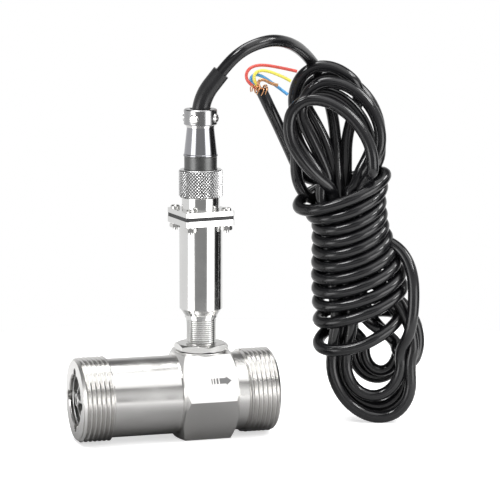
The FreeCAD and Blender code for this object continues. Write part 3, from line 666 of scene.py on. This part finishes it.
def threadCutter(cut, start):
    outer = cut["radius"] + threadShape["rise"]
    height = cut["depth"] + threadShape["rise"]
    halfWidth = cut["pitch"] * (0.5 - threadShape["crestFlat"] / 2)
    bpy.ops.mesh.primitive_circle_add(vertices=3, radius=mm, fill_type="NOTHING")
    obj = bpy.context.object
    bpy.ops.object.mode_set(mode="EDIT")
    bpy.ops.mesh.select_all(action="SELECT")
    bpy.ops.transform.resize(value=(halfWidth / triangle["halfSide"], -height / triangle["height"], 1.0))
    bpy.ops.object.mode_set(mode="OBJECT")
    tall = max(v.co.y for v in obj.data.vertices)
    obj.location = (0.0, 0.0, outer * mm - tall)
    obj.rotation_euler = (math.radians(90), 0.0, 0.0)
    settle(obj)
    screw = obj.modifiers.new("wind", "SCREW")
    screw.axis = "X"
    screw.screw_offset = cut["pitch"] * mm
    screw.iterations = cut["turns"]
    screw.steps = threadShape["steps"]
    screw.render_steps = threadShape["steps"]
    bpy.ops.object.modifier_apply(modifier=screw.name)
    bpy.ops.object.mode_set(mode="EDIT")
    bpy.ops.mesh.select_all(action="SELECT")
    bpy.ops.mesh.fill_holes(sides=0)
    bpy.ops.mesh.normals_make_consistent(inside=False)
    bpy.ops.object.mode_set(mode="OBJECT")
    first = min(v.co.x for v in obj.data.vertices)
    obj.location = (start * mm - first, 0.0, 0.0)
    settle(obj)
    if cut["axis"] == "Z":
        obj.rotation_euler = (0.0, math.radians(-90), 0.0)
        settle(obj)
    obj.location = metres(cut["through"])
    settle(obj)
    return obj


def cutThreads(nodeName, name, metal, slot, *cuts):
    piece = copyOf(nodeName)
    for thread, start in cuts:
        carve(piece, threadCutter(thread, threadStarts[start]), "DIFFERENCE")
    evenNormals(piece)
    finishPiece(piece, name, metals[metal], slot, "meter", nodeName)
    print(name, "cut,", len(piece.data.polygons), "faces")


cutThreads("flow_body", "threadedPipe", "turnedSteel", "turned_steel",
           (pipeThread, "inlet"), (pipeThread, "outlet"))
cutThreads("pickup_housing", "threadedHousing", "polishedSteel", "polished_steel", (stemThread, "stem"))
cutThreads("socket_shell", "threadedSocket", "polishedSteel", "polished_steel", (neckThread, "neck"))


# Coupling ring with a diamond knurl: every second point of a fine grid is sunk, which leaves rows of
# small points
knurlSet = {
    "radius": 10.87,
    "middle": 126.43,
    "height": 14.84,
    "points": 42,
    "rows": 18,
    "sunk": 0.953,
    "axis": (stemAt, 0.0),
}


def makeKnurlBlank():
    rows = knurlSet["rows"]
    columns = 2 * knurlSet["points"]
    bpy.ops.mesh.primitive_cylinder_add(vertices=columns, radius=knurlSet["radius"] * mm,
                                        depth=knurlSet["height"] * mm, end_fill_type="NGON")
    obj = bpy.context.object
    mesh = obj.data
    bpy.ops.object.mode_set(mode="EDIT")
    bpy.ops.mesh.select_mode(type="EDGE")
    bpy.ops.mesh.select_all(action="DESELECT")
    bpy.ops.object.mode_set(mode="OBJECT")
    for edge in mesh.edges:
        low, high = [mesh.vertices[i].co.z for i in edge.vertices]
        # The upright edges are the only ones that climb
        edge.select = abs(high - low) > mm
    bpy.ops.object.mode_set(mode="EDIT")
    bpy.ops.mesh.subdivide(number_cuts=rows - 1)
    bpy.ops.mesh.select_mode(type="VERT")
    bpy.ops.mesh.select_all(action="DESELECT")
    bpy.ops.object.mode_set(mode="OBJECT")
    for vertex in mesh.vertices:
        row = round((vertex.co.z / (knurlSet["height"] * mm) + 0.5) * rows)
        column = round(math.atan2(vertex.co.y, vertex.co.x) / (2 * math.pi) * columns)
        vertex.select = (row + column) % 2 == 1
    bpy.ops.object.mode_set(mode="EDIT")
    bpy.ops.transform.resize(value=(knurlSet["sunk"], knurlSet["sunk"], 1.0))
    bpy.ops.mesh.select_all(action="SELECT")
    bpy.ops.mesh.quads_convert_to_tris(quad_method="SHORTEST_DIAGONAL")
    bpy.ops.mesh.normals_make_consistent(inside=False)
    bpy.ops.object.mode_set(mode="OBJECT")
    obj.location = metres((*knurlSet["axis"], knurlSet["middle"]))
    settle(obj)
    return obj


# Its nickel is painted darker in the grooves, a painted shade for the light they hold back; the places are
# distances from the ring's axis
grooveShadeSet = {
    "crest": 10.62,
    "foot": 10.40,
    "inside": 10.28,
    "light": (0.88, 0.88, 0.88, 1.0),
    "dark": (0.09, 0.09, 0.092, 1.0),
    "rough": 0.24,
    "hazeScale": 160.0,
    "haze": 0.08,
}


def knurlMaterial():
    material, tree, shader = newMaterial("knurledNickel")
    feed(tree, shader.inputs["Metallic"], 1.0)
    place = objectPlace(tree)
    axisX, axisY = knurlSet["axis"]
    flat = vectorNode(tree, "MULTIPLY_ADD", place, (1.0, 1.0, 0.0), (-axisX * mm, -axisY * mm, 0.0))
    away = vectorNode(tree, "LENGTH", flat.outputs["Vector"]).outputs["Value"]
    depth = addNode(tree, "ShaderNodeMapRange", Value=away, From_Min=grooveShadeSet["foot"] * mm,
                    From_Max=grooveShadeSet["crest"] * mm)
    inside = mathNode(tree, "LESS_THAN", away, grooveShadeSet["inside"] * mm)
    bright = mathNode(tree, "MAXIMUM", depth.outputs[0], inside)
    # Painted shade: the grooves get the dark tint, the crests and the bore the light one
    tint = mixNode(tree, "RGBA", bright, grooveShadeSet["dark"], grooveShadeSet["light"])
    feed(tree, shader.inputs["Base Color"], tint)
    haze = hazeNode(tree, place, grooveShadeSet["hazeScale"], 0.0, grooveShadeSet["haze"])
    feed(tree, shader.inputs["Roughness"], mathNode(tree, "ADD", haze.outputs["Value"], grooveShadeSet["rough"]))
    return material


ring = copyOf("coupling_ring")
carve(ring, makeKnurlBlank(), "INTERSECT")
activate(ring)
bpy.ops.object.shade_flat()
finishPiece(ring, "knurledRing", knurlMaterial(), "ring_chrome", "ring", "coupling_ring")
print("ring knurled,", len(ring.data.polygons), "faces")


# Flow arrow on the front flank of the hexagon: three bars, a shaft and a head, all thin as a print.
# The flank's middle line is given across the pipe and in height, the start along the pipe and up the flank
arrowSet = {
    "flank": (-18.403, 31.875),
    "tilt": 60.0,
    "thick": 0.06,
    "bars": [(0.0, 0.5), (1.15, 0.7), (2.55, 0.95)],
    "tall": 2.9,
    "shaft": (4.1, 7.4),
    "head": (7.4, 10.2),
    "headTall": 4.6,
    "start": (stemAt, -1.5),
}


def makeArrow():
    parts = []
    spans = [(start, start + width) for start, width in arrowSet["bars"]] + [arrowSet["shaft"]]
    for start, stop in spans:
        bpy.ops.mesh.primitive_cube_add(size=1.0, location=metres(((start + stop) / 2, 0.0, 0.0)))
        bar = bpy.context.object
        bar.scale = metres((stop - start, arrowSet["tall"], arrowSet["thick"]))
        parts.append(bar)
    start, stop = arrowSet["head"]
    along = (stop - start) / triangle["height"]
    across = arrowSet["headTall"] / (2 * triangle["halfSide"])
    bpy.ops.mesh.primitive_cylinder_add(vertices=3, radius=1.0, depth=1.0,
                                        rotation=(0.0, 0.0, math.radians(-90)),
                                        location=metres((start + along / 2, 0.0, 0.0)))
    head = bpy.context.object
    head.scale = metres((across, along, arrowSet["thick"]))
    parts.append(head)
    deselectAll()
    for part in parts:
        part.select_set(True)
    bpy.context.view_layer.objects.active = parts[0]
    bpy.ops.object.transform_apply(location=True, rotation=True, scale=True)
    bpy.ops.object.join()
    arrow = bpy.context.object
    arrow.location = metres((*arrowSet["start"], 0.0))
    settle(arrow)
    arrow.rotation_euler = (math.radians(arrowSet["tilt"]), 0.0, 0.0)
    arrow.location = metres((0.0, *arrowSet["flank"]))
    settle(arrow)
    return arrow


finishPiece(makeArrow(), "flowArrow", plastics["printGrey"], "", "meter")
print("arrow set")


# Finishes of the solids, also of those that stand behind a finer piece
nodeFinishes = {
    "turnedSteel": ["flow_body"],
    "guideSteel": ["inlet_guide", "outlet_guide", "inlet_snap_ring", "outlet_snap_ring"],
    "rotorSteel": ["rotor"],
    "groundSteel": ["rotor_shaft", "pole_pin"],
    "bearingBronze": ["inlet_bearing", "outlet_bearing", "coil_winding"],
    "polishedSteel": ["pickup_housing", "socket_shell"],
    "platedSteel": ["stem_nut", "stem_washer", "flange_nuts", "flange_washers", "flange_screws",
                    "ring_retainer"],
    "brightNickel": ["clamp_ferrule", "clamp_screws"],
    "collarNickel": ["clamp_collar"],
    "gritNickel": ["coupling_ring"],
    "magnetMetal": ["pickup_magnet"],
    "contactBrass": ["socket_pins", "plug_contacts"],
    "bobbinNylon": ["coil_bobbin"],
    "boardGreen": ["preamp_board"],
    "gasketBlack": ["flange_gasket"],
    "insertBlack": ["socket_insert", "plug_insert"],
    "shellBlack": ["plug_shell"],
    "sleeveBlack": ["cable_sleeve"],
    "jacketBlack": ["cable_lead", "cable_hank", "cable_tail"],
    "coreRed": ["red_core"],
    "coreYellow": ["yellow_core"],
    "coreBlue": ["blue_core"],
    "braidCopper": ["shield_braid"],
}
for finishName, nodeNames in nodeFinishes.items():
    material = metals.get(finishName) or plastics[finishName]
    for nodeName in nodeNames:
        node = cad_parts[nodeName]
        node.data.materials.clear()
        node.data.materials.append(material)
print("solids finished")


# Floor: pale and dull; where metal mirrors it, its colour is painted darker near the object, a painted shade
floorSet = {
    "radius": 300.0,
    "place": (40.0, 0.0, -0.2),
    "sides": 96,
    "rough": 0.9,
    "glow": 0.6,
    "shade": 0.78,
    "mirroredFrom": (35.0, 160.0),
    "mirroredPaintedShade": (0.25, 0.85),
}


def makeFloor():
    bpy.ops.mesh.primitive_circle_add(vertices=floorSet["sides"], radius=floorSet["radius"] * mm,
                                      fill_type="NGON", location=metres(floorSet["place"]))
    floor = bpy.context.object
    floor.name = "tableTop"
    settle(floor)
    material, tree, shader = newMaterial("paleTable")
    feed(tree, shader.inputs["Roughness"], floorSet["rough"])
    feed(tree, shader.inputs["Specular IOR Level"], 0.0)
    path = addNode(tree, "ShaderNodeLightPath")
    away = vectorNode(tree, "LENGTH", objectPlace(tree)).outputs["Value"]
    # Painted shade: for glossy rays the floor's colour darkens towards the object
    near, far = [place * mm for place in floorSet["mirroredFrom"]]
    dark, light = floorSet["mirroredPaintedShade"]
    paintedShade = addNode(tree, "ShaderNodeMapRange", Value=away, From_Min=near, From_Max=far,
                   To_Min=dark, To_Max=light)
    shade = mixNode(tree, "FLOAT", path.outputs["Is Glossy Ray"], floorSet["shade"], paintedShade.outputs[0])
    feed(tree, shader.inputs["Base Color"], shade)
    feed(tree, shader.inputs["Emission Color"], (1.0, 1.0, 1.0, 1.0))
    glow = mathNode(tree, "MULTIPLY", path.outputs["Is Camera Ray"], floorSet["glow"])
    feed(tree, shader.inputs["Emission Strength"], glow)
    floor.data.materials.append(material)


# Studio round the object: brightness by degrees to the right of the camera
studioSides = [(-180, 0.85), (-78, 0.85), (-70, 1.0), (-36, 1.0), (-30, 0.30), (30, 0.27), (36, 1.0),
               (78, 1.0), (82, 0.02), (124, 0.02), (130, 0.95), (180, 0.95)]
# Brightness by degrees above the horizon, and how much of it counts against the sides
studioHeights = [(-90, 0.5), (4, 0.78), (22, 0.6), (29, 0.4), (33, 0.12), (58, 0.10), (70, 0.85), (90, 1.0)]
studioBlend = [(-90, 0.0), (2, 0.0), (14, 1.0), (90, 1.0)]


def rampNode(tree, keys, span, share):
    node = addNode(tree, "ShaderNodeValToRGB", Fac=share)
    ramp = node.color_ramp
    while len(ramp.elements) > 1:
        ramp.elements.remove(ramp.elements[-1])
    for index, (angle, value) in enumerate(keys):
        spot = (angle + span / 2) / span
        element = ramp.elements[0] if index == 0 else ramp.elements.new(spot)
        element.position = spot
        element.color = (value, value, value, 1.0)
    return node.outputs["Color"]


def makeWorld():
    world = bpy.data.worlds.new("studioWorld")
    world.use_nodes = True
    bpy.context.scene.world = world
    tree = world.node_tree
    place = addNode(tree, "ShaderNodeTexCoord").outputs["Generated"]
    turned = addNode(tree, "ShaderNodeVectorRotate", rotation_type="Z_AXIS", Vector=place,
                     Angle=math.radians(-cameraSet["turn"]))
    split = splitNode(tree, turned.outputs[0])
    minusY = mathNode(tree, "MULTIPLY", split["Y"], -1.0)
    around = mathNode(tree, "ARCTAN2", split["X"], minusY)
    aroundShare = mathNode(tree, "MULTIPLY_ADD", around, 1 / (2 * math.pi), 0.5)
    up = mathNode(tree, "ARCSINE", split["Z"])
    upShare = mathNode(tree, "MULTIPLY_ADD", up, 1 / math.pi, 0.5)
    sides = rampNode(tree, studioSides, 360.0, aroundShare)
    heights = rampNode(tree, studioHeights, 180.0, upShare)
    blend = rampNode(tree, studioBlend, 180.0, upShare)
    studio = mixNode(tree, "RGBA", blend, sides, heights)
    path = addNode(tree, "ShaderNodeLightPath")
    seen = mixNode(tree, "RGBA", path.outputs["Is Camera Ray"], studio, (1.0, 1.0, 1.0, 1.0))
    feed(tree, tree.nodes["Background"].inputs["Color"], seen)


# Lamps: degrees to the right of the camera, degrees up, the point they aim at, sides and power
lampAway = 900
lampSet = {
    "front": {"turn": -42.0, "height": 56.0, "aim": (40, 0, 100), "size": (270, 170), "power": 2.6},
    "spark": {"turn": 58.0, "height": 38.0, "aim": (100, 0, 90), "size": (170, 150), "power": 1.4},
    "side": {"turn": 92.0, "height": 42.0, "aim": (40, 0, 100), "size": (260, 260), "power": 2.2},
    "top": {"turn": -140.0, "height": 76.0, "aim": (20, 0, 60), "size": (520, 420), "power": 3.5},
    "box": {"turn": 53.0, "height": 57.0, "aim": (0, 0, 30), "size": (820, 640), "power": 2.2},
    "leftStrip": {"turn": -53.0, "height": -6.0, "aim": (14, 0, 150), "size": (520, 420), "power": 1.7},
    "rightStrip": {"turn": 55.0, "height": -6.0, "aim": (14, 0, 150), "size": (560, 420), "power": 1.8},
}


def makeLamps():
    for name, lamp in lampSet.items():
        aim = metres(lamp["aim"])
        around = math.radians(lamp["turn"] + cameraSet["turn"] - 90)
        height = math.radians(lamp["height"])
        reach = lampAway * mm
        flat = reach * math.cos(height)
        place = aim + Vector((flat * math.cos(around), flat * math.sin(around), reach * math.sin(height)))
        bpy.ops.object.light_add(type="AREA", location=place)
        light = bpy.context.object
        light.name = name
        light.data.shape = "RECTANGLE"
        light.data.size, light.data.size_y = [side * mm for side in lamp["size"]]
        light.data.energy = lamp["power"]
        light.rotation_euler = (aim - place).to_track_quat("-Z", "Y").to_euler()


makeFloor()
makeWorld()
makeLamps()
bpy.context.scene.view_settings.view_transform = "Standard"
print("studio lit")
